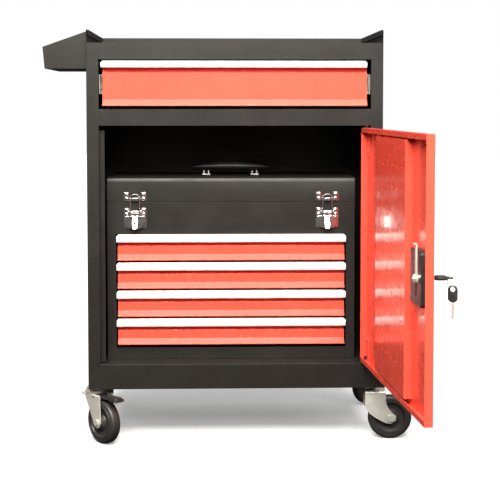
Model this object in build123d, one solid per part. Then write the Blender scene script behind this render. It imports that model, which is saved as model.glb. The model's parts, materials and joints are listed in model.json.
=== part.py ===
from build123d import *
import os
from math import hypot

# Rolling tool box: a steel cabinet on casters with a side tray, a top drawer and a lower
# compartment whose open door shows a portable chest with four small drawers.
# Millimetres, +Z up. The front faces -Y. The model is drawn about the cabinet's middle with
# the floor at Z 0, and it is moved at the end so that the origin is the middle of its base.

# ---- driving dimensions ----
SHEET = 1.2
WIDTH, DEPTH = 615.0, 355.0
BASE_Z, RIM_Z, LIP_Z, TOP_RAIL_Z = 115.5, 865.0, 838.0, 804.0
SHELF_TOP, SHELF_Z, FLOOR_Z = 701.5, 667.0, 168.0
TRAY_FLOOR = 815.0
OPENING = 282.5
POST_RETURN = 16.0
HEM = 5.0

DOOR_ANGLE = 94.3
DOOR_X, DOOR_Z, DOOR_DEEP = 280.0, (171.0, 662.5), 15.0
PIN_X, PIN_IN, PIN_R = 274.0, 5.0, 3.0
LOCK_AT, LOCK_Z = 510.0, 416.5
CUP_AT, CUP_Z = (444.0, 524.0), (366.0, 463.0)
RECESS_AT, RECESS_Z = (452.0, 494.0), (376.0, 453.0)
PEG_HOLE_R, PEG_PITCH, PEG_COLUMNS, PEG_ROWS, PEG_MIDDLE = 2.5, 40.0, 6, 10, (279.0, 419.0)

CHEST_X, CHEST_W, CHEST_SET_BACK, CHEST_DEEP = -7.5, 526.0, 55.0, 240.0
CHEST_Z, SEAM_Z, LID_Z, TILL_Z = 168.5, 504.0, 556.0, 438.0
CHEST_OPENING, CHEST_SILL = 244.5, 193.0
SMALL_DRAWERS, SMALL_FIRST_Z, SMALL_PITCH = 4, 200.5, 60.0
LATCH_X = 204.0
HANDLE_LONG, HANDLE_FEET, HANDLE_PIN_R = 171.0, 53.5, 2.0

WHEEL_R, WHEEL_W, TRAIL, AXLE_R = 46.5, 27.0, 32.6, 5.0
LEG_OUT, LEG_THICK, BRIDGE_Z = 18.5, 2.5, (102.0, 104.5)
PEDAL_AT, PEDAL_R = (20.0, 98.8), 2.3
CASTER_X, CASTER_Y, STEM_R = 297.0, 145.5, 6.0
CASTERS = {"front_left": (-1, -1, -50.0), "front_right": (1, -1, 0.0),
           "back_left": (-1, 1, 90.0), "back_right": (1, 1, 35.0)}
BRAKED = ("front_left", "back_left")
FIT = 0.05

# ---- values that follow from them ----
HALF = WIDTH / 2
INNER = HALF - SHEET
FRONT, BACK = -DEPTH / 2, DEPTH / 2
BACK_IN = BACK - SHEET
PIN_Y = FRONT + PIN_IN
PLATE_Z = BASE_Z + SHEET
CHEST_FRONT = FRONT + CHEST_SET_BACK
CHEST_BACK = CHEST_FRONT + CHEST_DEEP
CHEST_HALF = CHEST_W / 2
LID_AXIS = (CHEST_BACK + 4.0, SEAM_Z + 0.5)
HANDLE_AXIS = (6.0, LID_Z + 6.0)
SLIDE_Z = (733.0, 773.0)
SLIDE_LONG = 330.0

nodes = {}


# ---- small helpers ----
def block(x, y, z):
    """A box between three pairs of limits."""
    size = (x[1] - x[0], y[1] - y[0], z[1] - z[0])
    return Pos(x[0], y[0], z[0]) * Box(*size, align=(Align.MIN,) * 3)


def along_x(outline, x):
    """A (y, z) outline pulled along X between two limits."""
    return extrude(Plane.YZ.offset(x[0]) * Polygon(*outline, align=None), x[1] - x[0], dir=(1, 0, 0))


def along_y(outline, y):
    """An (x, z) outline pulled along Y between two limits."""
    return extrude(Plane.XZ.offset(-y[0]) * Polygon(*outline, align=None), y[1] - y[0], dir=(0, 1, 0))


def along_z(outline, z):
    """An (x, y) outline pulled along Z between two limits."""
    return extrude(Plane.XY.offset(z[0]) * Polygon(*outline, align=None), z[1] - z[0], dir=(0, 0, 1))


def rod(start, radius, length, direction):
    """A round bar from a start point."""
    return extrude(Plane(origin=start, z_dir=direction) * Circle(radius), length)


def bent(points, thickness=SHEET):
    """The outline of sheet bent along points: the thickness goes to the path's left."""
    inner = []
    for index, here in enumerate(points):
        sides = []
        for first, second in ((index - 1, index), (index, index + 1)):
            if 0 <= first and second < len(points):
                run = (points[second][0] - points[first][0], points[second][1] - points[first][1])
                length = hypot(*run)
                sides.append((-run[1] / length, run[0] / length))
        one, two = sides[0], sides[-1]
        reach = thickness / (1 + one[0] * two[0] + one[1] * two[1])
        inner.append((here[0] + reach * (one[0] + two[0]), here[1] + reach * (one[1] + two[1])))
    return list(points) + inner[::-1]


def both_sides(shape):
    """A left shape and its mirror image on the right."""
    return shape, mirror(shape, about=Plane.YZ)


def group(*shapes):
    """Separate solids kept in one node."""
    return Compound([solid for shape in shapes for solid in shape.solids()])


# ---- cabinet ----
def side_panel():
    """Left side: flat panel, front post folded at its edge, and a rolled top rim."""
    path = [(-HALF, BACK), (-HALF, FRONT), (-OPENING, FRONT), (-OPENING, FRONT + POST_RETURN)]
    panel = along_z(bent(path), (PLATE_Z, TOP_RAIL_Z))
    panel += block((-HALF, -INNER), (FRONT, BACK), (TOP_RAIL_Z, RIM_Z))
    rim = [(-INNER, RIM_Z), (-HALF + HEM, RIM_Z), (-HALF + HEM, RIM_Z - 12.0)]
    return panel + along_y(bent(rim, -SHEET), (FRONT, BACK - HEM))


def back_panel():
    """Back sheet with a rolled rim and two upright hook tabs inside."""
    path = [(BACK, PLATE_Z), (BACK, RIM_Z), (BACK - HEM, RIM_Z), (BACK - HEM, RIM_Z - 12.0)]
    panel = along_x(bent(path), (-INNER, INNER))
    for x in (-251.0, 251.0):
        panel += block((x - 1.75, x + 1.75), (BACK_IN - 6.0, BACK_IN), (559.0, 595.0))
    return panel


def top_tray():
    """Recessed top: floor and a folded front rail with a lip."""
    path = [(FRONT + POST_RETURN, TOP_RAIL_Z), (FRONT, TOP_RAIL_Z), (FRONT, LIP_Z),
            (FRONT + HEM, LIP_Z), (FRONT + HEM, TRAY_FLOOR - SHEET)]
    rail = along_x(bent(path, -SHEET), (-INNER, INNER))
    return rail + block((-INNER, INNER), (FRONT + HEM - SHEET, BACK_IN), (TRAY_FLOOR - SHEET, TRAY_FLOOR))


def middle_shelf():
    """Shelf between the top drawer and the lower compartment, with its front rail."""
    path = [(FRONT + POST_RETURN, SHELF_TOP), (FRONT, SHELF_TOP), (FRONT, SHELF_Z), (BACK_IN, SHELF_Z)]
    shelf = along_x(bent(path), (-OPENING, OPENING))
    return shelf + block((-INNER, INNER), (FRONT + POST_RETURN, BACK_IN), (SHELF_Z, SHELF_Z + SHEET))


def cabinet_floor():
    """Floor of the lower compartment."""
    floor = block((-OPENING, OPENING), (FRONT, BACK_IN), (FLOOR_Z - SHEET, FLOOR_Z))
    return floor + block((-INNER, INNER), (FRONT + POST_RETURN, BACK_IN), (FLOOR_Z - SHEET, FLOOR_Z))


def base_pan():
    """Bottom plate with a hole for each caster stem, and the front fascia."""
    pan = block((-HALF, HALF), (FRONT, BACK), (BASE_Z, PLATE_Z))
    pan += block((-OPENING, OPENING), (FRONT, FRONT + SHEET), (PLATE_Z, FLOOR_Z - SHEET))
    for side, end, _ in CASTERS.values():
        pan -= rod((side * CASTER_X, end * CASTER_Y, BASE_Z - 1), STEM_R + FIT, SHEET + 2, (0, 0, 1))
    return pan


def door_stop_strip():
    """Upright plate behind the left post that the door shuts against."""
    y = FRONT + POST_RETURN
    return block((-INNER, -OPENING + 10.5), (y, y + SHEET), (170.0, 657.0))


def door_hinge_pins():
    """Two pins that the door turns on, each with a washer."""
    top = rod((PIN_X, PIN_Y, SHELF_Z), PIN_R, 14.0, (0, 0, -1))
    top += rod((PIN_X, PIN_Y, SHELF_Z), 4.4, 2.0, (0, 0, -1))
    bottom = rod((PIN_X, PIN_Y, FLOOR_Z), PIN_R, 14.0, (0, 0, 1))
    bottom += rod((PIN_X, PIN_Y, FLOOR_Z), 4.4, 2.6, (0, 0, 1))
    return group(top, bottom)


def slide_member(web, lips, z, y):
    """A C-shaped rail on the left: a web at one X with two lips that reach another."""
    x = tuple(sorted((web, web + SHEET)))
    rail = block(x, y, z)
    for low in (z[0], z[1] - SHEET):
        rail += block((x[1], lips) if lips > x[1] else (lips, x[0]), y, (low, low + SHEET))
    return rail


def rails_outer():
    """Fixed drawer rails, each on two stand-off brackets fastened to the side panel."""
    y = (-160.0, -160.0 + SLIDE_LONG)
    rail = slide_member(-282.0, -273.5, SLIDE_Z, y)
    for start in (-150.0, 130.0):
        bracket = [(-INNER, 733.0), (-INNER, 745.0), (-283.2, 745.0), (-283.2, 761.0),
                   (-INNER, 761.0), (-INNER, 773.0)]
        rail += along_y(bent(bracket, -SHEET), (start, start + 25.0))
    return group(*both_sides(rail))


def rails_middle():
    """Middle rails, which move half as far as the drawer."""
    rail = slide_member(-279.0, -272.5, (736.0, 770.0), (-158.0, -158.0 + SLIDE_LONG))
    return group(*both_sides(rail))


def rails_inner():
    """Rails fastened to the drawer's sides."""
    rail = slide_member(-270.2, -276.0, (740.0, 766.0), (-156.0, -156.0 + SLIDE_LONG))
    return group(*both_sides(rail))


def side_tray():
    """Open tray hung on the left side, with a sloping outer wall and sloping end tops."""
    inner_x, floor_z, outer_z, top_z = -HALF, 785.0, 830.0, 862.0
    y = (-168.0, 92.0)
    section = [(inner_x, top_z), (inner_x, floor_z), (-394.0, floor_z), (-398.0, outer_z)]
    tray = along_y(bent(section, -SHEET), y)
    end = [(inner_x, top_z), (inner_x, floor_z), (-394.0, floor_z), (-398.0, outer_z)]
    for start in (y[0], y[1] - SHEET):
        tray += along_y(end, (start, start + SHEET))
    return tray


def side_tray_screws():
    """Two screws that hold the side tray, heads inside the tray."""
    screws = []
    for y in (-120.0, 44.0):
        screws.append(rod((-HALF - SHEET, y, 845.0), 5.0, 3.0, (-1, 0, 0)))
    return group(*screws)


# ---- top drawer ----
def open_box(x, y, z):
    """A box of sheet with no top."""
    inside = block((x[0] + SHEET, x[1] - SHEET), (y[0] + SHEET, y[1] - SHEET), (z[0] + SHEET, z[1] + 1))
    return block(x, y, z) - inside


def drawer_front(x, face, z, heights):
    """Folded front: a sill that slopes outwards, an upright face and a step under the pull."""
    sill, flat, step = heights
    path = [(face + 10.0, z), (face - 8.0, z), (face - 8.0, z + 2.0), (face, z + sill),
            (face, z + sill + flat), (face + 8.0, z + sill + flat), (face + 8.0, z + sill + flat + step),
            (face - 1.0, z + sill + flat + step)]
    return along_x(bent(path, -SHEET), x)


def drawer_pull(x, face, z, high, reach):
    """Light pull bar: a folded channel with a rounded nose and slanted ends."""
    nose = [(face - 1.0, z), (face - reach + 2.0, z), (face - reach, z + 0.25 * high),
            (face - reach, z + 0.75 * high), (face - reach + 2.5, z + high), (face + 9.0, z + high),
            (face + 9.0, z + SHEET)]
    bar = along_x(bent(nose, -SHEET), x)
    for side, at in ((1, x[1]), (-1, x[0])):
        corner = [(at, z + high + 1.0), (at, z + high - 4.0), (at - side * 5.0, z + high + 1.0)]
        bar -= along_y(corner, (face - 20.0, face + 20.0))
    return bar


# ---- door, drawn shut and then swung open ----
def door_block(t, u, z):
    """A box on the shut door: t runs from the hinge edge, u goes in from the outer face."""
    return block((DOOR_X - t[1], DOOR_X - t[0]), (FRONT + u[0], FRONT + u[1]), z)


def door_rod(t, z, u, radius):
    """A round bar through the shut door."""
    return rod((DOOR_X - t, FRONT + u[0], z), radius, u[1] - u[0], (0, 1, 0))


def pin_bores():
    """Running-fit bores round both hinge pins."""
    return rod((PIN_X, PIN_Y, FLOOR_Z), PIN_R + FIT, SHELF_Z - FLOOR_Z, (0, 0, 1))


def door_shell():
    """Folded door pan with inward lips at top and bottom, holes for the pins, handle and lock."""
    wide = DOOR_X * 2
    low, high = DOOR_Z
    shell = door_block((0, wide), (0, DOOR_DEEP), DOOR_Z)
    shell -= door_block((SHEET, wide - SHEET), (SHEET, DOOR_DEEP + 1), (low + SHEET, high - SHEET))
    for z in ((low + SHEET, low + 10.0), (high - 10.0, high - SHEET)):
        shell += door_block((SHEET, wide - SHEET), (DOOR_DEEP - SHEET, DOOR_DEEP), z)
    shell -= door_block(RECESS_AT, (-1.0, SHEET + 0.1), RECESS_Z)
    shell -= door_rod(LOCK_AT, LOCK_Z, (-1.0, SHEET + 0.1), 9.0)
    return shell - pin_bores()


def door_pegboard():
    """Raised panel on the inner face, with rows of tool holes."""
    t, z = (150.0, 405.0), (DOOR_Z[0] + 13.0, DOOR_Z[1] - 13.0)
    left, right = DOOR_X - t[1], DOOR_X - t[0]
    near, far = FRONT + SHEET, FRONT + DOOR_DEEP - SHEET
    path = [(left - 7.0, near), (left, near), (left, far), (right, far), (right, near), (right + 7.0, near)]
    board = along_z(bent(path), z)
    for column in range(PEG_COLUMNS):
        for row in range(PEG_ROWS):
            at = PEG_MIDDLE[0] + (column - (PEG_COLUMNS - 1) / 2) * PEG_PITCH
            up = PEG_MIDDLE[1] + (row - (PEG_ROWS - 1) / 2) * PEG_PITCH
            board -= door_rod(at, up, (DOOR_DEEP - 3.0, DOOR_DEEP + 1.0), PEG_HOLE_R)
    return board


def door_hinge_brackets():
    """Angle plates that stiffen the door at both pins, each with a screw."""
    low, high = DOOR_Z
    plates = []
    for flange, foot, screw in ((high - SHEET, -2.0, high - 48.0), (low + SHEET, 2.0, low + 48.0)):
        leg = tuple(sorted((flange, flange + foot)))
        tall = tuple(sorted((flange, flange + 29.0 * foot)))
        plate = door_block((SHEET, 26.0), (SHEET, 13.0), leg)
        plate += door_block((SHEET, 26.0), (SHEET, 3.2), tall)
        plates.append(plate + door_rod(15.0, screw, (3.2, 5.4), 4.5) - pin_bores())
    return group(*plates)


def grown(limits, by):
    """A pair of limits moved apart."""
    return limits[0] - by, limits[1] + by


def door_handle_cup():
    """Moulded housing: a finger recess open to the outside, beside the lock."""
    cup = door_block(CUP_AT, (SHEET, 13.2), CUP_Z)
    cup += door_block(RECESS_AT, (0.0, SHEET), RECESS_Z)
    cup += door_block(grown(RECESS_AT, 4.0), (-1.5, 0.0), grown(RECESS_Z, 4.0))
    cup -= door_block(grown(RECESS_AT, -2.0), (-2.0, 11.0), grown(RECESS_Z, -2.0))
    return cup - door_rod(LOCK_AT, LOCK_Z, (-2.0, 14.0), 9.0)


def lock_barrel():
    """Fixed lock body with a collar outside."""
    barrel = door_rod(LOCK_AT, LOCK_Z, (0.0, 15.5), 9.0) + door_rod(LOCK_AT, LOCK_Z, (-4.0, 0.0), 11.0)
    return barrel - door_rod(LOCK_AT, LOCK_Z, (-5.0, 16.0), 3.5 + FIT)


def lock_cam():
    """Turning plug with a flat arm that reaches behind the stop strip."""
    cam = door_rod(LOCK_AT, LOCK_Z, (-4.5, 21.5), 3.5)
    cam += door_block((LOCK_AT - 7.0, LOCK_AT + 7.0), (18.0, 20.0), (LOCK_Z - 8.0, LOCK_Z + 60.0))
    return cam + door_block((LOCK_AT - 7.0, LOCK_AT + 7.0), (20.0, 24.0), (LOCK_Z + 58.0, LOCK_Z + 60.0))


def lock_key():
    """Key in the lock: shank, grip and a thin end with a hole for the ring."""
    key = door_block((LOCK_AT - 4.0, LOCK_AT + 4.0), (-13.0, -4.5), (LOCK_Z - 1.0, LOCK_Z + 1.0))
    key += door_block((LOCK_AT - 12.0, LOCK_AT + 12.0), (-34.0, -12.0), (LOCK_Z - 3.5, LOCK_Z + 3.5))
    key += door_block((LOCK_AT - 10.0, LOCK_AT + 10.0), (-45.0, -34.0), (LOCK_Z - 1.0, LOCK_Z + 1.0))
    return key - rod((DOOR_X - LOCK_AT, FRONT - 40.0, LOCK_Z - 2), 3.6, 4.0, (0, 0, 1))


RING_R, RING_WIRE = 10.0, 0.9
RING_AT = (DOOR_X - LOCK_AT, FRONT - 45.2, LOCK_Z - 7.9)
SPARE_AT = (RING_AT[0], RING_AT[1], RING_AT[2] - RING_R - 2.0)


def key_ring():
    """Wire ring through the key's hole."""
    return Plane(origin=RING_AT, z_dir=(1, 0, 0)).location * Torus(RING_R, RING_WIRE)


def spare_key():
    """Second key, which hangs from the ring."""
    grip = block((-8.7, 8.7), (-1.0, 1.0), (-22.0, 6.5)) - rod((0, -2, 0), 4.8, 4.0, (0, 1, 0))
    blade = block((-3.0, 3.0), (-0.9, 0.9), (-52.0, -22.0))
    return Pos(*SPARE_AT) * Rot(0, 0, 55) * (grip + blade)


def swing(shape):
    """Turns a shut door piece to the open angle about the hinge pins."""
    return Pos(PIN_X, PIN_Y, 0) * Rot(0, 0, DOOR_ANGLE) * Pos(-PIN_X, -PIN_Y, 0) * shape


# ---- portable chest, drawn about its own middle in X ----
def chest_body():
    """Sheet case with a drawer opening and a till under the lid."""
    wide, deep = CHEST_HALF - SHEET, (CHEST_FRONT + SHEET, CHEST_BACK - SHEET)
    case = block((-CHEST_HALF, CHEST_HALF), (CHEST_FRONT, CHEST_BACK), (CHEST_Z, SEAM_Z))
    case -= block((-wide, wide), deep, (CHEST_Z + SHEET, TILL_Z - SHEET))
    case -= block((-wide, wide), deep, (TILL_Z, SEAM_Z + 1))
    front = (CHEST_FRONT - 1, CHEST_FRONT + SHEET + 1)
    return case - block((-CHEST_OPENING, CHEST_OPENING), front, (CHEST_SILL, TILL_Z - SHEET))


def chest_runners():
    """Angle runners with a guide rib under each small drawer, on both sides."""
    runners = []
    for number in range(SMALL_DRAWERS):
        z = SMALL_FIRST_Z + number * SMALL_PITCH - 1.6
        wall = -CHEST_HALF + SHEET
        y = (CHEST_FRONT + 12.0, CHEST_BACK - 12.0)
        runner = along_y(bent([(wall, z + 20.0), (wall, z), (-228.0, z)]), y)
        runner += block((-239.6, -238.4), y, (z + SHEET, z + 9.0))
        runners += both_sides(runner)
    return group(*runners)


def chest_hinge(top):
    """Half of the piano hinge: the lower half holds the pin, the upper half is bored."""
    y = (CHEST_BACK, CHEST_BACK + SHEET)
    knuckles, step, long = 9, 50.0, 49.4
    start = -step * knuckles / 2
    leaf_z = (508.6, 528.0) if top else (480.0, 500.4)
    half = block((start, start + step * knuckles), y, leaf_z)
    for number in range(knuckles):
        if number % 2 == int(top):
            x = start + number * step
            tab_z = (LID_AXIS[1], leaf_z[0]) if top else (leaf_z[1], LID_AXIS[1])
            knuckle = rod((x, *LID_AXIS), 3.4, long, (1, 0, 0)) + block((x, x + long), y, tab_z)
            half += knuckle
    pin_r = 1.5 + FIT if top else 1.5
    pin = rod((start, *LID_AXIS), pin_r, step * knuckles, (1, 0, 0))
    return half - pin if top else half + pin


def chest_lid():
    """Deep lid, open below, with its front and back top edges bevelled steeply and then flatly."""
    low, front, back = SEAM_Z + 0.8, CHEST_FRONT, CHEST_BACK
    path = [(front, low), (front, LID_Z - 9.5), (front + 4.0, LID_Z - 1.5), (front + 9.0, LID_Z),
            (back - 9.0, LID_Z), (back - 4.0, LID_Z - 1.5), (back, LID_Z - 9.5), (back, low)]
    lid = along_x(bent(path, -SHEET), (-CHEST_HALF, CHEST_HALF))
    for x in ((-CHEST_HALF, SHEET - CHEST_HALF), (CHEST_HALF - SHEET, CHEST_HALF)):
        lid += along_x(path, x)
    return lid


# ---- draw latches: x is measured from the latch's middle, out is the distance off the chest ----
LATCH_HALF, PIN_LATCH_R = 24.0, 1.5
LEVER_Z, LEVER_OUT, LEVER_FACE = 482.0, 6.0, (6.8, 8.2)
LOOP_Z, LOOP_OUT, LOOP_TOP, LOOP_HALF, LOOP_WIRE = 474.0, 9.6, 521.0, 10.0, 1.2
EAR = (12.0, 13.5)


def off_chest(x, out, z):
    """A box in front of the chest."""
    return block(x, (CHEST_FRONT - out[1], CHEST_FRONT - out[0]), z)


def latch_rivets(z):
    """Two rivet heads on a latch plate."""
    heads = [rod((side * 17.5, CHEST_FRONT - 1.5, z), 3.2, 1.2, (0, -1, 0)) for side in (-1, 1)]
    return heads[0] + heads[1]


def latch_base():
    """Plate with two ears for the lever's pin, and two rivets."""
    base = off_chest((-LATCH_HALF, LATCH_HALF), (0.0, 1.5), (450.0, 491.5)) + latch_rivets(487.0)
    for side in (-1, 1):
        base += off_chest(sorted((side * EAR[0], side * EAR[1])), (1.5, 8.5), (478.0, 487.5))
    return base - rod((-16.0, CHEST_FRONT - LEVER_OUT, LEVER_Z), PIN_LATCH_R + FIT, 32.0, (1, 0, 0))


def latch_lever():
    """Shield-shaped lever with its pin and two lugs for the loop."""
    edge = [(11.0, 486.0), (11.0, 474.5), (22.0, 474.5), (22.0, 466.0), (19.0, 455.0), (10.0, 449.0)]
    shield = edge + [(0.0, 446.5)] + [(-x, z) for x, z in edge[::-1]]
    lever = along_y(shield, (CHEST_FRONT - LEVER_FACE[1], CHEST_FRONT - LEVER_FACE[0]))
    lever += rod((-EAR[1], CHEST_FRONT - LEVER_OUT, LEVER_Z), PIN_LATCH_R, 2 * EAR[1], (1, 0, 0))
    for side in (-1, 1):
        lever += off_chest(sorted((side * 4.0, side * 7.0)), (LEVER_FACE[0], 11.6), (471.5, 476.5))
    return lever - rod((-9.0, CHEST_FRONT - LOOP_OUT, LOOP_Z), LOOP_WIRE + FIT, 18.0, (1, 0, 0))


def latch_loop():
    """Closed wire loop."""
    y = CHEST_FRONT - LOOP_OUT
    loop = rod((-LOOP_HALF, y, LOOP_Z), LOOP_WIRE, 2 * LOOP_HALF, (1, 0, 0))
    loop += rod((-LOOP_HALF, y, LOOP_TOP), LOOP_WIRE, 2 * LOOP_HALF, (1, 0, 0))
    for x in (-LOOP_HALF, LOOP_HALF):
        loop += rod((x, y, LOOP_Z), LOOP_WIRE, LOOP_TOP - LOOP_Z, (0, 0, 1))
        loop += Pos(x, y, LOOP_Z) * Sphere(LOOP_WIRE)
        loop += Pos(x, y, LOOP_TOP) * Sphere(LOOP_WIRE)
    return loop


def latch_keeper():
    """Plate on the lid with an upturned hook and two rivets."""
    keeper = off_chest((-LATCH_HALF, LATCH_HALF), (0.0, 1.5), (507.0, 525.0)) + latch_rivets(519.0)
    keeper += off_chest((-5.0, 5.0), (1.5, 8.0), (507.0, 508.5))
    return keeper + off_chest((-5.0, 5.0), (6.8, 8.0), (508.5, 513.0))


def lid_handle():
    """Arched grip on two short arms."""
    crown = ThreePointArc((-HANDLE_LONG / 2, 574.0), (0, 585.0), (HANDLE_LONG / 2, 574.0))
    belly = ThreePointArc((HANDLE_LONG / 2, 574.0), (0, 568.0), (-HANDLE_LONG / 2, 574.0))
    grip = extrude(Plane.XZ.offset(33.0) * make_face([crown, belly]), 26.0, dir=(0, 1, 0))
    arm = [(-12.0, 570.0), (-12.0, 576.0), (1.0, 569.0), (9.5, 566.0), (9.5, 560.8), (7.5, 558.3),
           (3.0, 558.3)]
    for side in (-1, 1):
        grip += along_x(arm, sorted((side * (HANDLE_FEET - 2.5), side * (HANDLE_FEET + 2.5))))
    return grip - rod((-70.0, *HANDLE_AXIS), HANDLE_PIN_R + FIT, 140.0, (1, 0, 0))


def handle_brackets():
    """Two forks on the lid, each with a pin for the handle's arm."""
    forks = []
    for side in (-1, 1):
        middle = side * HANDLE_FEET
        fork = block((middle - 9.0, middle + 9.0), (-3.0, 15.0), (LID_Z, LID_Z + 1.5))
        for x in (middle - 6.0, middle + 4.0):
            fork += block((x, x + 2.0), (2.0, 10.0), (LID_Z + 1.5, LID_Z + 9.5))
        forks.append(fork + rod((middle - 7.5, *HANDLE_AXIS), HANDLE_PIN_R, 15.0, (1, 0, 0)))
    return group(*forks)


# ---- casters: drawn with the swivel axis at the origin and the wheel trailing along +X ----
def caster_stem(braked):
    """Threaded stem with the rivet head under the fork, and the part that the fork turns against."""
    stem = rod((0, 0, 95.5), STEM_R, 44.5, (0, 0, 1)) + rod((0, 0, 95.5), 8.5, 6.0, (0, 0, 1))
    if braked:
        return stem + rod((0, 0, 110.0), 17.5, BASE_Z - 110.0, (0, 0, 1))
    return stem + rod((0, 0, 105.0), 8.5, 8.0, (0, 0, 1))


def caster_nut():
    """Nut on the stem, inside the base pan."""
    hexagon = Rot(0, 0, 30) * RegularPolygon(8.5, 6, major_radius=False)
    return extrude(Pos(0, 0, PLATE_Z) * (hexagon - Circle(STEM_R)), 9.0)


PLAIN_LEG = [(22.0, 105.0), (-22.0, 105.0), (-22.0, 76.0), (-19.0, 66.0), (-12.0, 56.5), (-2.0, 49.0),
             (10.0, 42.0), (23.0, 36.0), (TRAIL, 34.5), (43.5, 41.0), (44.0, 51.0), (36.5, 57.0),
             (29.5, 65.0), (24.5, 74.0), (22.0, 84.0)]
BRAKED_LEG = [(41.0, 105.0), (-22.0, 105.0), (-22.0, 99.0), (-10.0, 99.0), (20.5, 44.0), (24.5, 37.5),
              (TRAIL, 34.5), (40.5, 37.5), (44.6, 46.0)]


def caster_fork(braked):
    """Folded fork: a bridge with two legs, and the wheel's axle bolt as a second solid."""
    low, gap = WHEEL_R - 13.0, (LEG_THICK - LEG_OUT, LEG_OUT - LEG_THICK)
    fold = block((-30.0, 60.0), (-LEG_OUT, LEG_OUT), (low, BRIDGE_Z[1]))
    fold = fillet(fold.edges().group_by(Axis.Z)[-1].filter_by(Axis.X), 4.0)
    fold -= block((-30.0, 60.0), gap, (low, BRIDGE_Z[0]))
    fork = fold & along_y(BRAKED_LEG if braked else PLAIN_LEG, (-LEG_OUT - 1, LEG_OUT + 1))
    if braked:
        fork -= block((15.0, 60.0), gap, (low, BRIDGE_Z[1] + 1))
        fork += rod((0, 0, BRIDGE_Z[1] - 0.5), 20.0, 5.5, (0, 0, 1))
        fork -= rod((PEDAL_AT[0], -LEG_OUT - 1, PEDAL_AT[1]), PEDAL_R + FIT, 2 * LEG_OUT + 2, (0, 1, 0))
    fork -= rod((0, 0, low), STEM_R + FIT, 90.0, (0, 0, 1))
    fork -= rod((TRAIL, -LEG_OUT - 1, WHEEL_R), AXLE_R, 2 * LEG_OUT + 2, (0, 1, 0))
    axle = rod((TRAIL, -LEG_OUT, WHEEL_R), AXLE_R, 2 * LEG_OUT, (0, 1, 0))
    for y in (-LEG_OUT - 3.5, LEG_OUT):
        axle += rod((TRAIL, y, WHEEL_R), 7.0, 3.5, (0, 1, 0))
    return group(fork, axle)


def caster_wheel():
    """Solid wheel with a rounded tread, dished sides and a bored hub."""
    half = WHEEL_W / 2
    rim = [(0, AXLE_R + FIT), (15.5, AXLE_R + FIT), (15.5, 11.0), (13.0, 14.0), (7.0, 17.0), (7.0, 30.0),
           (half, 34.0), (half, WHEEL_R - 4.0), (half - 4.0, WHEEL_R), (0, WHEEL_R)]
    section = rim + [(-y, r) for y, r in rim[::-1] if y]
    hub = (TRAIL, 0, WHEEL_R)
    face = Plane(origin=hub, x_dir=(0, 1, 0), z_dir=(1, 0, 0)) * Polygon(*section, align=None)
    return revolve(face, Axis(hub, (0, 1, 0)), 360)


def brake_pedal():
    """Foot lever over the tread, on its own pin through the fork's legs."""
    x, z = PEDAL_AT
    pedal = block((x - 4.0, 78.0), (-12.0, 12.0), (z - 2.3, z + 2.2))
    pedal += Pos(78.0, 0, z) * Cylinder(14.0, 4.4)
    pedal += block((48.0, 84.0), (-12.0, 12.0), (z + 2.2, z + 8.0))
    return pedal + rod((x, -LEG_OUT, z), PEDAL_R, 2 * LEG_OUT, (0, 1, 0))


def place_caster(shape, name):
    """Puts a caster piece at its corner, turned to its trailing direction."""
    side, end, angle = CASTERS[name]
    return Pos(side * CASTER_X, end * CASTER_Y, 0) * Rot(0, 0, angle) * shape


# ---- everything, by node ----
def add_cabinet():
    left, right = both_sides(side_panel())
    nodes["side_panel_left"], nodes["side_panel_right"] = left, right
    nodes["back_panel"] = back_panel()
    nodes["top_tray"] = top_tray()
    nodes["middle_shelf"] = middle_shelf()
    nodes["cabinet_floor"] = cabinet_floor()
    nodes["base_pan"] = base_pan()
    nodes["door_stop_strip"] = door_stop_strip()
    nodes["door_hinge_pins"] = door_hinge_pins()
    nodes["slide_rails_outer"] = rails_outer()
    nodes["side_tray"] = side_tray()
    nodes["side_tray_screws"] = side_tray_screws()
    nodes["caster_stems"] = group(*[place_caster(caster_stem(name in BRAKED), name) for name in CASTERS])
    nodes["caster_nuts"] = group(*[place_caster(Rot(0, 0, -CASTERS[name][2]) * caster_nut(), name)
                                   for name in CASTERS])


def add_top_drawer():
    nodes["top_drawer_box"] = open_box((-269.0, 269.0), (FRONT + 10.0, 150.0), (708.0, 780.0))
    nodes["top_drawer_front"] = drawer_front((-274.0, 273.5), FRONT, 708.0, (13.0, 56.0, 10.0))
    nodes["top_drawer_pull"] = drawer_pull((-277.0, 272.5), FRONT, 787.0, 13.5, 12.0)
    nodes["slide_rails_inner"] = rails_inner()
    nodes["slide_rails_middle"] = rails_middle()


def add_door():
    for make in (door_shell, door_pegboard, door_hinge_brackets, door_handle_cup, lock_barrel, lock_cam,
                 lock_key, key_ring, spare_key):
        nodes[make.__name__] = swing(make())


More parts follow.
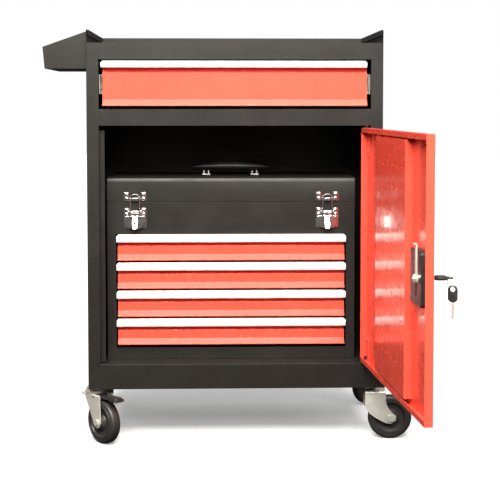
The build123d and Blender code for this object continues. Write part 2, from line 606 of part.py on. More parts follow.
def add_chest():
    at = Pos(CHEST_X, 0, 0)
    for make in (chest_body, chest_runners, chest_lid, lid_handle, handle_brackets):
        nodes[make.__name__] = at * make()
    nodes["chest_hinge_lower"] = at * chest_hinge(False)
    nodes["chest_hinge_upper"] = at * chest_hinge(True)
    sides = {"left": Pos(CHEST_X - LATCH_X, 0, 0), "right": Pos(CHEST_X + LATCH_X, 0, 0)}
    nodes["latch_bases"] = group(*[spot * latch_base() for spot in sides.values()])
    nodes["latch_keepers"] = group(*[spot * latch_keeper() for spot in sides.values()])
    for side, spot in sides.items():
        nodes[f"latch_lever_{side}"] = spot * latch_lever()
        nodes[f"latch_loop_{side}"] = spot * latch_loop()
    for number in range(SMALL_DRAWERS):
        z = SMALL_FIRST_Z + number * SMALL_PITCH
        box = open_box((-237.0, 237.0), (CHEST_FRONT + 10.0, CHEST_FRONT + 225.0), (z, z + 40.0))
        front = drawer_front((-241.0, 241.0), CHEST_FRONT, z, (12.0, 18.5, 8.0))
        pull = drawer_pull((-243.5, 243.5), CHEST_FRONT, z + 38.5, 16.5, 9.0)
        nodes[f"chest_drawer_{number + 1}"] = at * (box + front)
        nodes[f"chest_drawer_pull_{number + 1}"] = at * pull


def add_casters():
    for name in CASTERS:
        nodes[f"caster_fork_{name}"] = place_caster(caster_fork(name in BRAKED), name)
        nodes[f"caster_wheel_{name}"] = place_caster(caster_wheel(), name)
        if name in BRAKED:
            nodes[f"brake_pedal_{name}"] = place_caster(brake_pedal(), name)


add_cabinet()
add_top_drawer()
add_door()
add_chest()
add_casters()

whole = group(*nodes.values()).bounding_box()
SHIFT = (-(whole.min.X + whole.max.X) / 2, -(whole.min.Y + whole.max.Y) / 2, -whole.min.Z)

os.makedirs("parts", exist_ok=True)
for name, shape in nodes.items():
    export_step(Pos(*SHIFT) * shape, f"parts/{name}.step")
print(len(nodes), "nodes, origin moved by", [round(value, 3) for value in SHIFT])
print("size", [round(value, 2) for value in (whole.size.X, whole.size.Y, whole.size.Z)])
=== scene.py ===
import json
from math import atan2, cos, pi, radians, sin

import bmesh
import bpy
from mathutils import Matrix, Vector


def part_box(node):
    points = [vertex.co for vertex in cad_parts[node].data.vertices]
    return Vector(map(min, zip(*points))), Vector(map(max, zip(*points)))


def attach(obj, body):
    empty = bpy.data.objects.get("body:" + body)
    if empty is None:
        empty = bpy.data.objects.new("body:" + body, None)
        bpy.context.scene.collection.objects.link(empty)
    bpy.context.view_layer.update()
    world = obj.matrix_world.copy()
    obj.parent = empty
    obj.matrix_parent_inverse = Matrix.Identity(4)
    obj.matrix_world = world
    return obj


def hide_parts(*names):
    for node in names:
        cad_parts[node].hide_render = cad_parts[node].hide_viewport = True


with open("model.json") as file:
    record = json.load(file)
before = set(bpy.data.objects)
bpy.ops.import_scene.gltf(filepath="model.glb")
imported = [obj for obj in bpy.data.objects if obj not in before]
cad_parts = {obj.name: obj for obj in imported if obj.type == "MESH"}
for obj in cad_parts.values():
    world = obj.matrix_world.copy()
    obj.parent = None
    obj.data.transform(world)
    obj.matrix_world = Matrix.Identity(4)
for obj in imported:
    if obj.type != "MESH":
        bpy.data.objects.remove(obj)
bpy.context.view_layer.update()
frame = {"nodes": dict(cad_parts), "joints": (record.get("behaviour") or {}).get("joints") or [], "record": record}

# Looks of the rolling tool box. The row frame is in metres; piece shapes are drawn in millimetres
# in a local frame, and Matrix.Scale(MM) brings them to metres.
MM = 0.001
NODES = frame["nodes"]
JOINTS = {joint["name"]: joint for joint in frame["joints"]}
BASE_LOW, BASE_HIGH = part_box("base_pan")
MID_X = (BASE_LOW.x + BASE_HIGH.x) / 2
FRONT_Y = BASE_LOW.y


# ---- camera, light and floor ----
CAMERA_BACK, CAMERA_LEFT, CAMERA_HIGH = 2.637, 0.050, 0.714
LENS, SHIFT_UP, PITCH, YAW = 91.5, -0.143, 3.4, 1.75


def add_camera():
    """A long lens at tray height, a little left of the middle."""
    data = bpy.data.cameras.new("camera")
    data.lens = LENS
    data.shift_y = SHIFT_UP
    camera = bpy.data.objects.new("camera", data)
    camera.location = (MID_X - CAMERA_LEFT, FRONT_Y - CAMERA_BACK, CAMERA_HIGH)
    camera.rotation_euler = (radians(90 - PITCH), 0, radians(-YAW))
    bpy.context.scene.collection.objects.link(camera)
    bpy.context.scene.camera = camera


def add_area_light(name, place, aim, size, power, colour):
    """A soft rectangular light that looks at a point."""
    data = bpy.data.lights.new(name, "AREA")
    data.shape = "RECTANGLE"
    data.size, data.size_y = size
    data.energy = power
    data.color = colour
    light = bpy.data.objects.new(name, data)
    light.location = place
    light.rotation_euler = (aim - place).to_track_quat("-Z", "Y").to_euler()
    bpy.context.scene.collection.objects.link(light)


def studio_world():
    """White to the camera; to everything else a soft dome, brighter overhead than below."""
    world = bpy.data.worlds.new("studio")
    bpy.context.scene.world = world
    world.use_nodes = True
    tree = world.node_tree
    tree.nodes.clear()
    direction = tree.nodes.new("ShaderNodeTexCoord").outputs["Generated"]
    parts = tree.nodes.new("ShaderNodeSeparateXYZ")
    tree.links.new(direction, parts.inputs[0])
    height = tree.nodes.new("ShaderNodeMapRange")
    tree.links.new(parts.outputs["Z"], height.inputs["Value"])
    for socket, number in (("From Min", -0.05), ("From Max", 0.7), ("To Min", 0.05), ("To Max", 0.45)):
        height.inputs[socket].default_value = number
    dome, seen = (tree.nodes.new("ShaderNodeBackground") for _ in range(2))
    tree.links.new(height.outputs["Result"], dome.inputs["Strength"])
    dome.inputs["Color"].default_value = (1.0, 0.985, 0.96, 1)
    seen.inputs["Color"].default_value = (1, 1, 1, 1)
    mix = tree.nodes.new("ShaderNodeMixShader")
    tree.links.new(tree.nodes.new("ShaderNodeLightPath").outputs["Is Camera Ray"], mix.inputs["Fac"])
    tree.links.new(dome.outputs[0], mix.inputs[1])
    tree.links.new(seen.outputs[0], mix.inputs[2])
    tree.links.new(mix.outputs[0], tree.nodes.new("ShaderNodeOutputWorld").inputs["Surface"])


def add_studio():
    """Soft lights above and in front, and a plain floor that runs into the white background."""
    bpy.context.scene.view_settings.view_transform = "Standard"
    studio_world()
    warm, white = (1.0, 0.97, 0.92), (1.0, 1.0, 1.0)
    for name, place, aim, size, power, colour in (
            ("overhead", (0, -0.62, 2.5), (0, -0.1, 0.5), (2.4, 0.8), 16, warm),
            ("front", (-0.2, -2.0, 2.25), (0, 0, 0.6), (2.2, 1.1), 205, warm),
            ("side", (2.2, -1.7, 1.3), (0, 0, 0.55), (1.2, 1.6), 14, white),
            ("low", (0, -2.8, 1.65), (0, 0, 0.5), (0.7, 0.4), 26, warm)):
        base = Vector((MID_X, FRONT_Y, 0))
        add_area_light(name, base + Vector(place), base + Vector(aim), size, power, colour)
    bpy.ops.mesh.primitive_plane_add(size=30, location=(MID_X, 0, 0))
    floor = bpy.context.object
    floor.name = "floor"
    floor.data.materials.append(floor_material())
    floor.visible_diffuse = False
    floor.visible_glossy = False


# ---- materials ----
class Shader:
    """A short way to write a node material."""

    def __init__(self, name):
        self.material = bpy.data.materials.new(name)
        self.material.use_nodes = True
        self.tree = self.material.node_tree
        self.tree.nodes.clear()
        self.surface = self.add("ShaderNodeBsdfPrincipled")
        self.link(self.surface.outputs["BSDF"], self.add("ShaderNodeOutputMaterial").inputs["Surface"])
        self.place = self.add("ShaderNodeTexCoord").outputs["Object"]

    def add(self, kind):
        return self.tree.nodes.new(kind)

    def link(self, start, end):
        self.tree.links.new(start, end)

    def feed(self, socket, value):
        """Links a socket, or sets a number or a colour."""
        if hasattr(value, "is_output"):
            self.link(value, socket)
        else:
            socket.default_value = (*value, 1) if isinstance(value, tuple) else value

    def noise(self, scale, detail=2.0, roughness=0.5, stretch=None):
        node = self.add("ShaderNodeTexNoise")
        for name, value in (("Scale", scale), ("Detail", detail), ("Roughness", roughness)):
            node.inputs[name].default_value = value
        place = self.place
        if stretch:
            mapping = self.add("ShaderNodeMapping")
            mapping.inputs["Scale"].default_value = stretch
            self.link(place, mapping.inputs["Vector"])
            place = mapping.outputs["Vector"]
        self.link(place, node.inputs["Vector"])
        return node.outputs["Fac"]

    def ramp(self, value, low, high, start=0.0, end=1.0):
        """Maps a value from low..high to start..end."""
        node = self.add("ShaderNodeMapRange")
        self.link(value, node.inputs["Value"])
        for socket, number in (("From Min", low), ("From Max", high), ("To Min", start), ("To Max", end)):
            node.inputs[socket].default_value = number
        return node.outputs["Result"]

    def mix(self, amount, first, second):
        """A colour between two colours."""
        node = self.add("ShaderNodeMix")
        node.data_type = "RGBA"
        for index, value in ((0, amount), (6, first), (7, second)):
            self.feed(node.inputs[index], value)
        return node.outputs[2]

    def math(self, operation, first, second=0.0):
        node = self.add("ShaderNodeMath")
        node.operation = operation
        self.feed(node.inputs[0], first)
        self.feed(node.inputs[1], second)
        return node.outputs["Value"]

    def edges(self, width):
        """1 on sharp edges and 0 on flat ground, for wear, thin paint and a painted edge highlight."""
        bevel = self.add("ShaderNodeBevel")
        bevel.samples = 4
        bevel.inputs["Radius"].default_value = width * MM
        dot = self.add("ShaderNodeVectorMath")
        dot.operation = "DOT_PRODUCT"
        self.link(bevel.outputs["Normal"], dot.inputs[0])
        self.link(self.add("ShaderNodeNewGeometry").outputs["Normal"], dot.inputs[1])
        return self.ramp(dot.outputs["Value"], 0.98, 0.80)

    def set(self, **values):
        for name, value in values.items():
            self.feed(self.surface.inputs[name.replace("_", " ")], value)

    def bump(self, height, strength, distance):
        node = self.add("ShaderNodeBump")
        node.inputs["Strength"].default_value = strength
        node.inputs["Distance"].default_value = distance
        self.link(height, node.inputs["Height"])
        self.link(node.outputs["Normal"], self.surface.inputs["Normal"])


def floor_material():
    """Pale floor that turns into plain white away from the object."""
    shader = Shader("pale_floor")
    shader.set(Base_Color=shader.mix(shader.noise(3.0, 4.0), (0.86, 0.86, 0.86), (0.89, 0.89, 0.89)))
    shader.set(Roughness=0.8, Specular_IOR_Level=0.1)
    far = shader.add("ShaderNodeVectorMath")
    far.operation = "LENGTH"
    shader.link(shader.place, far.inputs[0])
    shader.set(Emission_Color=(1.0, 1.0, 1.0))
    shader.set(Emission_Strength=shader.ramp(far.outputs["Value"], 0.5, 3.5, 0.25, 1.0))
    return shader.material


def powder_coat(name, dark, light, roughness):
    """Sprayed coat with a fine grain, soft mottling, and edges lightened in patches: partly rubbed places, partly
    a painted edge highlight.
    """
    shader = Shader(name)
    grain = shader.noise(1300.0, 1.0)
    base = shader.mix(shader.ramp(shader.noise(22.0, 4.0), 0.35, 0.65), dark, light)
    speckle = shader.ramp(grain, 0.45, 0.62, 0.0, 0.5)
    coat = shader.mix(speckle, base, tuple(2.0 * value for value in light))
    patches = shader.ramp(shader.noise(60.0, 4.0), 0.35, 0.7, 0.1, 0.7)
    # painted edge highlight: sharp edges turn four times lighter in patches, partly rubbed wear and partly painted
    # highlight
    rub = shader.math("MULTIPLY", shader.edges(1.2), patches)
    shader.set(Base_Color=shader.mix(rub, coat, tuple(4.0 * value for value in light)))
    cloud = shader.noise(9.0, 6.0, 0.7)
    shader.set(Roughness=shader.ramp(cloud, 0.4, 0.7, roughness - 0.05, roughness + 0.08))
    shader.set(Specular_IOR_Level=0.27)
    shader.bump(grain, 0.35, 0.00025)
    return shader.material


def gloss_enamel(name, colour, deep):
    """Smooth baked enamel with a slight orange peel, and edges lightened in patches by wear and a painted
    highlight.
    """
    shader = Shader(name)
    base = shader.mix(shader.ramp(shader.noise(5.0, 4.0), 0.3, 0.7), deep, colour)
    patches = shader.ramp(shader.noise(50.0, 4.0), 0.4, 0.75, 0.0, 0.5)
    # painted edge highlight: sharp edges turn a light salmon red in patches, partly rubbed wear and partly painted
    # highlight
    rub = shader.math("MULTIPLY", shader.edges(0.9), patches)
    shader.set(Base_Color=shader.mix(rub, base, (0.92, 0.22, 0.15)))
    shader.set(Roughness=shader.ramp(shader.noise(30.0, 5.0, 0.65), 0.3, 0.7, 0.24, 0.31))
    shader.set(Specular_IOR_Level=0.4, Coat_Weight=0.35, Coat_Roughness=0.08)
    shader.bump(shader.noise(420.0, 2.0), 0.10, 0.0003)
    return shader.material


def pale_metal(name):
    """Off-white coated pull bars with faint long rub marks."""
    shader = Shader(name)
    rub = shader.ramp(shader.noise(40.0, 5.0, 0.7, (0.08, 1.0, 1.0)), 0.35, 0.75)
    shader.set(Base_Color=shader.mix(rub, (0.80, 0.76, 0.70), (0.90, 0.88, 0.84)))
    shader.set(Roughness=shader.ramp(shader.noise(120.0, 3.0), 0.3, 0.7, 0.30, 0.44))
    shader.set(Metallic=0.1, Specular_IOR_Level=0.5)
    shader.bump(shader.noise(700.0, 1.0), 0.08, 0.0002)
    return shader.material


def plated(name, colour, low, high, grain, metallic):
    """Plated steel: clouded reflections and fine marks."""
    shader = Shader(name)
    cloud = shader.ramp(shader.noise(60.0, 5.0, 0.6), 0.3, 0.7)
    shader.set(Base_Color=shader.mix(cloud, tuple(0.82 * value for value in colour), colour))
    shader.set(Roughness=shader.ramp(shader.noise(260.0, 4.0, 0.7), 0.3, 0.7, low, high))
    shader.set(Metallic=metallic)
    shader.bump(shader.noise(grain, 2.0), 0.12, 0.0002)
    return shader.material


def moulded(name, colour, low, high, grain=1400.0):
    """Moulded plastic or rubber with a fine spark grain and dusty patches."""
    shader = Shader(name)
    dust = shader.ramp(shader.noise(18.0, 6.0, 0.7), 0.45, 0.8, 0.0, 0.4)
    shader.set(Base_Color=shader.mix(dust, colour, tuple(0.02 + 1.3 * value for value in colour)))
    shader.set(Roughness=shader.ramp(shader.noise(90.0, 4.0), 0.3, 0.7, low, high))
    shader.bump(shader.noise(grain, 1.0), 0.2, 0.0002)
    return shader.material


def make_materials():
    """One material for each slot of the record."""
    return {
        "dark_coat": powder_coat("dark_powder_coat", (0.0108, 0.0096, 0.0084), (0.0142, 0.0126, 0.0110),
                                 0.42),
        "red_coat": gloss_enamel("red_enamel", (0.88, 0.092, 0.056), (0.83, 0.080, 0.048)),
        "pull_white": pale_metal("pale_pull_bar"),
        "black_plastic": moulded("black_plastic", (0.020, 0.019, 0.018), 0.36, 0.50),
        "wheel_black": moulded("wheel_black", (0.026, 0.023, 0.021), 0.34, 0.52, 900.0),
        "zinc": plated("zinc_plate", (0.74, 0.71, 0.63), 0.34, 0.48, 500.0, 0.45),
        "chrome": plated("bright_plate", (0.84, 0.83, 0.81), 0.08, 0.20, 900.0, 0.95),
    }


# ---- piece builder ----
# turns a plate's outline into the (y, z) plane, so that its thickness runs along X
LYING = Matrix(((0, 0, 1, 0), (1, 0, 0, 0), (0, 1, 0, 0), (0, 0, 0, 1)))


def axes(at, x, y, z):
    """From a local frame in millimetres to the row frame: the origin in metres and three directions."""
    turn = Matrix((x, y, z)).transposed().to_4x4()
    return Matrix.Translation(at) @ turn @ Matrix.Scale(MM, 4)


def circle(radius, steps=24, at=(0.0, 0.0)):
    """Points of a circle."""
    angles = [2 * pi * step / steps for step in range(steps)]
    return [(at[0] + radius * cos(angle), at[1] + radius * sin(angle)) for angle in angles]


def rounded(corners, radius, steps=5):
    """A closed outline with each corner rounded by an arc-like curve."""
    points = []
    for index, corner in enumerate(corners):
        here = Vector(corner)
        before = Vector(corners[index - 1]) - here
        after = Vector(corners[(index + 1) % len(corners)]) - here
        reach = min(radius, before.length * 0.48, after.length * 0.48)
        start, end = here + before.normalized() * reach, here + after.normalized() * reach
        for step in range(steps + 1):
            t = step / steps
            points.append(tuple((1 - t) ** 2 * start + 2 * t * (1 - t) * here + t ** 2 * end))
    return points


def oblong(x, y, radius=2.0):
    """A rounded rectangle between two pairs of limits."""
    return rounded([(x[0], y[0]), (x[1], y[0]), (x[1], y[1]), (x[0], y[1])], radius)


class Piece:
    """Collects solids that are drawn in one local frame, then makes them one object."""

    def __init__(self, place):
        self.mesh = bmesh.new()
        self.place = place

    def take(self, data, at):
        """Adds a mesh that stands in the local frame by a matrix."""
        data.transform(at)
        self.mesh.from_mesh(data)
        bpy.data.meshes.remove(data)

    def from_curve(self, curve, at):
        """Adds what a curve looks like."""
        holder = bpy.data.objects.new("outline", curve)
        self.take(bpy.data.meshes.new_from_object(holder), at)
        bpy.data.objects.remove(holder)
        bpy.data.curves.remove(curve)

    def plate(self, outlines, z, edge=0.4, at=Matrix()):
        """A flat plate with rounded edges between two heights. Outlines after the first are holes."""
        curve = bpy.data.curves.new("outline", "CURVE")
        curve.dimensions, curve.fill_mode = "2D", "BOTH"
        curve.extrude, curve.bevel_depth = (z[1] - z[0]) / 2 - edge, edge
        curve.bevel_resolution, curve.offset = 2, -edge
        for outline in outlines:
            spline = curve.splines.new("POLY")
            spline.points.add(len(outline) - 1)
            for point, spot in zip(spline.points, outline):
                point.co = (*spot, 0, 1)
            spline.use_cyclic_u = True
        self.from_curve(curve, at @ Matrix.Translation((0, 0, (z[0] + z[1]) / 2)))

    def tube(self, points, radius, closed=False, at=Matrix(), sides=3):
        """A round bar along points."""
        curve = bpy.data.curves.new("path", "CURVE")
        curve.dimensions, curve.bevel_depth, curve.bevel_resolution = "3D", radius, sides
        curve.use_fill_caps = not closed
        spline = curve.splines.new("POLY")
        spline.points.add(len(points) - 1)
        for point, spot in zip(spline.points, points):
            point.co = (*spot, 1)
        spline.use_cyclic_u = closed
        self.from_curve(curve, at)

    def lathe(self, profile, at=Matrix(), steps=32, closed=False):
        """A (radius, height) profile turned about the local Z axis."""
        data = bmesh.new()
        rings = []
        for radius, height in profile:
            spots = circle(max(radius, 0.001), steps)
            rings.append([data.verts.new((x, y, height)) for x, y in spots])
        pairs = list(zip(rings, rings[1:] + rings[:1])) if closed else list(zip(rings, rings[1:]))
        for low, high in pairs:
            for step in range(steps):
                other = (step + 1) % steps
                data.faces.new((low[step], low[other], high[other], high[step]))
        bmesh.ops.remove_doubles(data, verts=data.verts, dist=0.005)
        mesh = bpy.data.meshes.new("turned")
        data.to_mesh(mesh)
        data.free()
        self.take(mesh, at)

    def bar(self, profile, x, edge=0.3, at=Matrix()):
        """A (y, z) profile pulled along X."""
        self.plate([profile], x, edge, at @ LYING)

    def done(self, name, body, slot, *nodes, angle=34.0):
        """The finished object, which rides on a body and stands for some CAD nodes."""
        bmesh.ops.remove_doubles(self.mesh, verts=self.mesh.verts, dist=0.002)
        bmesh.ops.recalc_face_normals(self.mesh, faces=self.mesh.faces)
        self.mesh.transform(self.place)
        data = bpy.data.meshes.new(name)
        self.mesh.to_mesh(data)
        self.mesh.free()
        data.materials.append(MATERIALS[slot])
        data.shade_smooth()
        data.set_sharp_from_angle(angle=radians(angle))
        obj = bpy.data.objects.new(name, data)
        bpy.context.scene.collection.objects.link(obj)
        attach(obj, body)
        if nodes:
            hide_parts(*nodes)
        return obj


X, Y, Z = Vector((1, 0, 0)), Vector((0, 1, 0)), Vector((0, 0, 1))


def joint_place(name):
    """A joint's point and direction."""
    joint = JOINTS[name]
    return Vector(joint["pos_m"]), Vector(joint["axis"]).normalized()


# ---- draw latches: X across, Y up, Z out from the chest, from the lever's axis ----
SHEET_Z = (-6.0, -4.5)          # the plates that lie on the chest and on the lid
RIVET_X, EAR_X = 18.0, 12.6


def dome(radius, height):
    """Profile of a rivet head."""
    return [(radius, 0.0), (radius * 0.97, height * 0.35), (radius * 0.75, height * 0.75),
            (radius * 0.4, height * 0.95), (0.0, height)]


def stand(x, y, z):
    return Matrix.Translation((x, y, z))


def add_latch(side):
    """Base plate, lever, wire loop and keeper of one latch."""
    at, _ = joint_place(f"latch_lever_{side}_swing")
    place = axes(at, X, Z, -Y)

    base = Piece(place)
    outline = [(-24, -32), (24, -32), (24, 9.5), (12.5, 9.5), (12.5, 3), (-12.5, 3), (-12.5, 9.5),
               (-24, 9.5)]
    base.plate([rounded(outline, 3.0)], SHEET_Z)
    ear = rounded([(-4.0, -4.6), (-4.0, 2.6), (5.5, 2.6), (5.5, -4.6)], 2.5)
    for end in (-1, 1):
        for y in (5.2, -3.2):
            base.lathe(dome(3.9, 2.2), stand(end * RIVET_X, y, SHEET_Z[1]))
        base.bar(ear, (end * EAR_X - 0.7, end * EAR_X + 0.7))
    base.done(f"latch_base_{side}", "chest", "chrome", "latch_bases")

    keeper = Piece(place)
    outline = [(-24, 25), (24, 25), (24, 43), (12.5, 43), (12.5, 31), (-12.5, 31), (-12.5, 43), (-24, 43)]
    keeper.plate([rounded(outline, 3.0)], SHEET_Z)
    for x in (-RIVET_X, RIVET_X):
        for y in (38.4, 29.8):
            keeper.lathe(dome(3.9, 2.2), stand(x, y, SHEET_Z[1]))
    hook = [(25.0, -5.0), (25.0, 2.0), (31.0, 2.0), (31.0, 0.8), (26.4, 0.8), (26.4, -5.0)]
    keeper.bar(rounded(hook, 0.8), (-5.0, 5.0))
    keeper.done(f"latch_keeper_{side}", "lid", "chrome", "latch_keepers")

    lever = Piece(place)
    edge = [(10.5, 4), (10.5, -7), (21.5, -7.5), (21.5, -16), (18.5, -27), (10, -33), (0, -35.5)]
    shield = edge + [(-x, y) for x, y in edge[-2::-1]]
    lever.plate([rounded(shield, 3.5)], (0.8, 2.2))
    tilt = stand(0, -9.0, 2.2) @ Matrix.Rotation(radians(-21), 4, "X")
    tongue = [(-5.2, 0), (5.2, 0), (6.0, -14), (4.6, -27.5), (-4.6, -27.5), (-6.0, -14)]
    lever.plate([rounded(tongue, 3.0), circle(2.4, 20, (0.0, -15.5))], (-1.0, 1.6), 0.8, tilt)
    lever.tube([(-13.5, 0, 0), (13.5, 0, 0)], 1.5)
    lever.tube([(-10.0, 1.5, 0.8), (10.0, 1.5, 0.8)], 2.6)
    lug = rounded([(-11.0, 1.0), (-11.0, 3.0), (-9.8, 5.4), (-6.2, 5.4), (-5.0, 3.0), (-5.0, 1.0)], 1.5)
    for x in (-5.5, 5.5):
        lever.bar(lug, (x - 1.5, x + 1.5))
    lever.done(f"latch_lever_{side}", f"lever_{side}", "chrome", f"latch_lever_{side}")

    loop = Piece(place)
    turns = [radians(angle) for angle in range(0, 181, 15)]
    arch = [(10 * cos(turn), 31.5 + 7.5 * sin(turn)) for turn in turns]
    path = [(10.0, -8.0)] + arch + [(-10.0, -8.0)]
    loop.tube([(x, y, 3.6) for x, y in rounded(path, 1.2, 2)], 1.2, closed=True)
    loop.done(f"latch_loop_{side}", f"loop_{side}", "chrome", f"latch_loop_{side}")


# ---- casters ----
def half_tread():
    """Right half of the wheel's section, as (radius, height) from the bore outwards."""
    return [(5.05, 15.5), (9.0, 15.5), (11.0, 14.6), (12.0, 12.6), (16.5, 10.2), (18.5, 7.4), (27.5, 7.0),
            (30.0, 8.2), (31.2, 11.0), (32.0, 12.0), (36.6, 12.0), (37.2, 11.2), (38.4, 11.2), (39.0, 12.0),
            (42.0, 11.5), (44.6, 9.6), (46.0, 6.6), (46.5, 3.0)]


def add_wheel(name):
    """Moulded wheel with a rounded tread, a ring groove and a dished web."""
    at, axis = joint_place(f"wheel_{name}_spin")
    wheel = Piece(axes(at, Z.cross(axis), Z, axis))
    section = half_tread()
    wheel.lathe(section + [(radius, -height) for radius, height in section[::-1]], steps=72, closed=True)
    wheel.done(f"wheel_{name}", f"wheel_{name}", "wheel_black", f"caster_wheel_{name}", angle=40.0)


def add_pedal(name):
    """Moulded foot pedal with tread ribs and its pin. X trails, and Y lies along the pin."""
    at, axis = joint_place(f"brake_{name}_press")
    pedal = Piece(axes(at, axis.cross(Z), axis, Z))
    outline = [(-4, -11), (26, -11.5), (44, -8.5), (56, -13.5), (70, -12.5), (71.5, 0), (70, 12.5),
               (56, 13.5), (44, 8.5), (26, 11.5), (-4, 11)]
    pedal.plate([rounded(outline, 6.0)], (-2.3, 2.2), 1.2)
    lobe = [(29, -9), (44, -6.5), (57, -11), (66, -9), (67, 0), (66, 9), (57, 11), (44, 6.5), (29, 9)]
    pedal.plate([rounded(lobe, 4.0)], (1.5, 5.4), 1.4)
    for x in (34.0, 40.0, 46.0, 52.0, 58.0):
        pedal.tube([(x, -5.5, 5.4), (x, 5.5, 5.4)], 1.4)
    pedal.tube([(0, -18.5, 0), (0, 18.5, 0)], 2.3)
    pedal.done(f"brake_pedal_{name}", f"brake_{name}", "black_plastic", f"brake_pedal_{name}")


# ---- door fittings: X towards the hinge, Y up and Z outwards, from the lock on the outer face ----
def door_frame():
    """The lock's place and the door's directions: towards the hinge, up, and outwards."""
    at, outward = joint_place("lock_turn")
    return at, Z.cross(outward), Z, outward


def add_lock():
    """Cam with its nut and washer inside, and a key with a moulded grip outside."""
    at, inner, up, outward = door_frame()
    cam = Piece(axes(at, inner, up, outward))
    arm = rounded([(-6.0, -7.5), (6.0, -7.5), (7.0, 4.0), (5.0, 59.0), (-5.0, 59.0), (-7.0, 4.0)], 4.0)
    cam.plate([arm], (-20.0, -18.0), 0.4)
    cam.bar(rounded([(57.8, -24.0), (59.8, -24.0), (59.8, -18.2), (57.8, -18.2)], 0.6), (-4.8, 4.8))
    cam.plate([circle(7.5, 6)], (-23.6, -20.2), 0.6)
    cam.lathe([(0.0, -25.4), (3.0, -25.2), (3.4, -24.6), (3.4, 4.4), (2.6, 4.6), (0.0, 4.6)])
    cam.lathe([(3.0, -18.0), (8.6, -18.0), (8.6, -16.8), (3.0, -16.8)], closed=True)
    cam.done("lock_cam_arm", "lock", "zinc", "lock_cam")

    flat = axes(at, inner, outward, inner.cross(outward))
    shank = Piece(flat)
    shank.plate([rounded([(-3.8, 4.5), (3.8, 4.5), (3.8, 14.0), (-3.8, 14.0)], 0.6)], (-1.0, 1.0), 0.2)
    shank.done("lock_key_shank", "lock", "zinc", "lock_key")
    grip = Piece(flat)
    body = [(-6.0, 11.5), (6.0, 11.5), (11.8, 16.0), (11.8, 30.0), (9.5, 44.8), (-9.5, 44.8),
            (-11.8, 30.0), (-11.8, 16.0)]
    hole = circle(3.6, 24, (0.0, 40.0))
    grip.plate([rounded(body, 5.0), hole], (-1.0, 1.0), 0.5)
    neck = [(-5.5, 12.0), (5.5, 12.0), (11.2, 16.5), (11.2, 29.0), (8.0, 34.0), (-8.0, 34.0),
            (-11.2, 29.0), (-11.2, 16.5)]
    grip.plate([rounded(neck, 4.0)], (-3.4, 3.4), 1.3)
    grip.done("lock_key_grip", "lock", "black_plastic", "lock_key")


SPARE_TURN, SPARE_DROP, RING_R = 55.0, 2.0, 10.0


def add_ring_and_spare():
    """Split ring of two turns, and a second key that hangs turned from it."""
    _, _, up, outward = door_frame()
    hook, _ = joint_place("spare_key_swing")
    ring = Piece(axes(hook + up * RING_R * MM, outward, up, outward.cross(up)))
    for z in (-0.42, 0.42):
        ring.tube([(x, y, z) for x, y in circle(RING_R, 64)], 0.46, closed=True)
    ring.done("key_ring_turns", "ring", "zinc", "key_ring")

    turn = atan2(outward.y, outward.x) + radians(90 + SPARE_TURN)
    across = Vector((cos(turn), sin(turn), 0))
    place = axes(hook - up * SPARE_DROP * MM, across, up, across.cross(up))
    bow = Piece(place)
    outline = [(-5.2, 6.4), (5.2, 6.4), (8.7, 1.0), (8.7, -15.0), (8.2, -19.0), (3.6, -22.5),
               (-3.6, -22.5), (-8.2, -19.0), (-8.7, -15.0), (-8.7, 1.0)]
    bow.plate([rounded(outline, 3.6), circle(4.7, 24)], (-1.25, 1.25), 0.5)
    bow.done("spare_key_bow", "spare", "black_plastic", "spare_key")
    blade = Piece(place)
    cuts = [(3.2, -21.5), (3.2, -27.0), (2.0, -28.0), (2.0, -31.0), (2.9, -33.0), (1.4, -36.0),
            (2.7, -39.0), (1.6, -42.0), (2.5, -45.0), (0.6, -51.5), (-0.8, -52.0), (-2.6, -46.0),
            (-2.6, -28.5), (-3.2, -27.0), (-3.2, -21.5)]
    blade.plate([cuts], (-0.9, 0.9), 0.2)
    spine = [(-0.9, -25.0), (0.9, -25.0), (0.9, -46.0), (-0.9, -46.0)]
    blade.plate([rounded(spine, 0.4)], (-1.05, 1.05), 0.1)
    blade.done("spare_key_blade", "spare", "zinc", "spare_key")


def add_cup():
    """Moulded handle housing on the door's inner side, with its recess and outer bezel."""
    housing = oblong((-14.0, 66.0), (-50.5, 46.5), 9.0)
    recess = oblong((18.0, 56.0), (-38.5, 34.5), 5.0)
    bore = circle(9.0, 32)
    cup = Piece(axes(*door_frame()))
    cup.plate([housing, recess, bore], (-11.2, -1.25), 1.0)
    cup.plate([housing, bore], (-13.6, -11.0), 1.1)
    cup.plate([oblong((12.0, 62.0), (-44.5, 40.5), 7.0), recess], (0.0, 1.5), 0.6)
    cup.plate([oblong((16.2, 57.8), (-40.3, 36.3), 5.0), recess], (-1.4, 0.2), 0.05)
    cup.plate([oblong((20.0, 54.0), (-34.0, 30.0), 4.0)], (-14.4, -13.2), 0.5)
    for x, y in ((60.0, 39.5), (60.0, -43.5), (-8.0, 39.5), (-8.0, -43.5)):
        cup.lathe([(4.6, -13.4), (4.4, -14.2), (2.4, -14.4), (2.0, -13.6), (0.0, -13.5)], stand(x, y, 0))
    cup.done("door_handle_housing", "door", "black_plastic", "door_handle_cup")


# ---- lid handle ----
GRIP_HALF, FOOT_SHARE = 85.5, 53.5 / 85.5
GRIP_STEPS, GRIP_SIDES = 28, 24


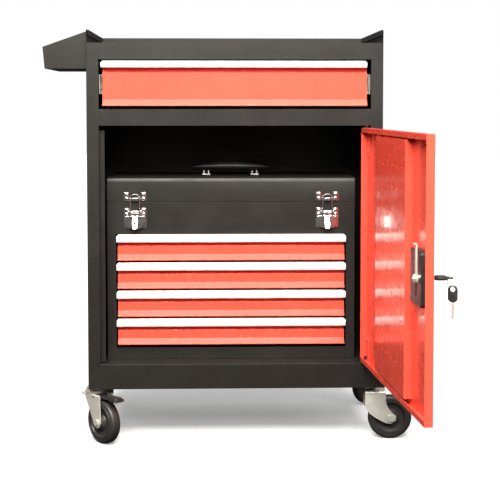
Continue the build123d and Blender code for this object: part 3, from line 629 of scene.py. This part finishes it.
def grip_loft():
    """Mesh of the grip: ovals that are widest and tallest in its middle."""
    data = bmesh.new()
    rings = []
    for step in range(GRIP_STEPS + 1):
        x = GRIP_HALF * sin(pi * (step / GRIP_STEPS - 0.5))
        rest = 1 - (x / GRIP_HALF) ** 2
        full = max(rest, 0.0) ** 0.5
        top, bottom = 12.0 + 11.0 * rest, 12.0 - 6.0 * rest
        half_y, half_z, middle = 1.2 + 11.6 * full, (top - bottom) / 2 * 0.96 + 0.4, (top + bottom) / 2
        rings.append([data.verts.new((x, -26.0 + half_y * cos(angle), middle + half_z * sin(angle)))
                      for angle in (2 * pi * side / GRIP_SIDES for side in range(GRIP_SIDES))])
    for ring, following in zip(rings, rings[1:]):
        for side in range(GRIP_SIDES):
            other = (side + 1) % GRIP_SIDES
            data.faces.new((ring[side], ring[other], following[other], following[side]))
    data.faces.new(rings[0])
    data.faces.new(rings[-1])
    mesh = bpy.data.meshes.new("loft")
    data.to_mesh(mesh)
    data.free()
    return mesh


def add_lid_handle():
    """Lofted grip, thick in the middle, on two short folded arms."""
    low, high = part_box("lid_handle")
    pivot, _ = joint_place("handle_fold")
    grip = Piece(axes(((low.x + high.x) / 2, pivot.y, pivot.z), X, Y, Z))
    grip.take(grip_loft(), Matrix())
    feet = (high.x - low.x) / MM * 0.5 * FOOT_SHARE
    arm = [(-22.0, 9.0), (-16.0, 13.0), (-5.0, 7.0), (1.0, 4.0), (3.5, 0.5), (2.6, -2.6), (-0.5, -3.6),
           (-3.5, -1.8), (-6.0, 1.5), (-20.0, 8.0)]
    for x in (-feet, feet):
        grip.bar(rounded(arm, 1.5), (x - 2.5, x + 2.5), 0.6)
    grip.done("lid_handle_grip", "handle", "black_plastic", "lid_handle", angle=50.0)


# ---- carried-over CAD nodes ----
# width of the rounded edges in millimetres by the start of a node's name; 0 leaves them sharp
EDGE = {"caster_fork": 0.0, "side_tray": 0.5, "top_drawer_pull": 1.0, "chest_drawer_pull": 1.0,
        "lock_barrel": 0.6, "chest_drawer": 0.5, "top_drawer_front": 0.5}
PLAIN_EDGE = 0.35


def soften(obj, width):
    """Small rounded edges on a CAD node, which keeps its own vertices."""
    mesh = obj.data
    if "custom_normal" in mesh.attributes:
        mesh.attributes.remove(mesh.attributes["custom_normal"])
    mesh.shade_smooth()
    weld = obj.modifiers.new("weld", "WELD")
    weld.merge_threshold = 0.00001
    if not width:
        obj.modifiers.new("split", "EDGE_SPLIT").split_angle = radians(28)
        return
    bevel = obj.modifiers.new("bevel", "BEVEL")
    bevel.width = width * MM
    bevel.segments = 2
    bevel.limit_method = "ANGLE"
    bevel.angle_limit = radians(32)
    bevel.use_clamp_overlap = True
    normals = obj.modifiers.new("normals", "WEIGHTED_NORMAL")
    normals.keep_sharp = True


def dress_nodes():
    """Each CAD node gets its slot's material and soft edges."""
    slots = {entry["node"]: entry["material_slot"] for entry in frame["record"]["subparts"]}
    for name, obj in NODES.items():
        obj.data.materials.clear()
        obj.data.materials.append(MATERIALS[slots[name]])
        soften(obj, next((width for start, width in EDGE.items() if name.startswith(start)), PLAIN_EDGE))


MATERIALS = make_materials()
add_camera()
add_studio()
dress_nodes()
for side in ("left", "right"):
    add_latch(side)
for name in ("front_left", "front_right", "back_left", "back_right"):
    add_wheel(name)
for name in ("front_left", "back_left"):
    add_pedal(name)
add_lock()
add_ring_and_spare()
add_cup()
add_lid_handle()
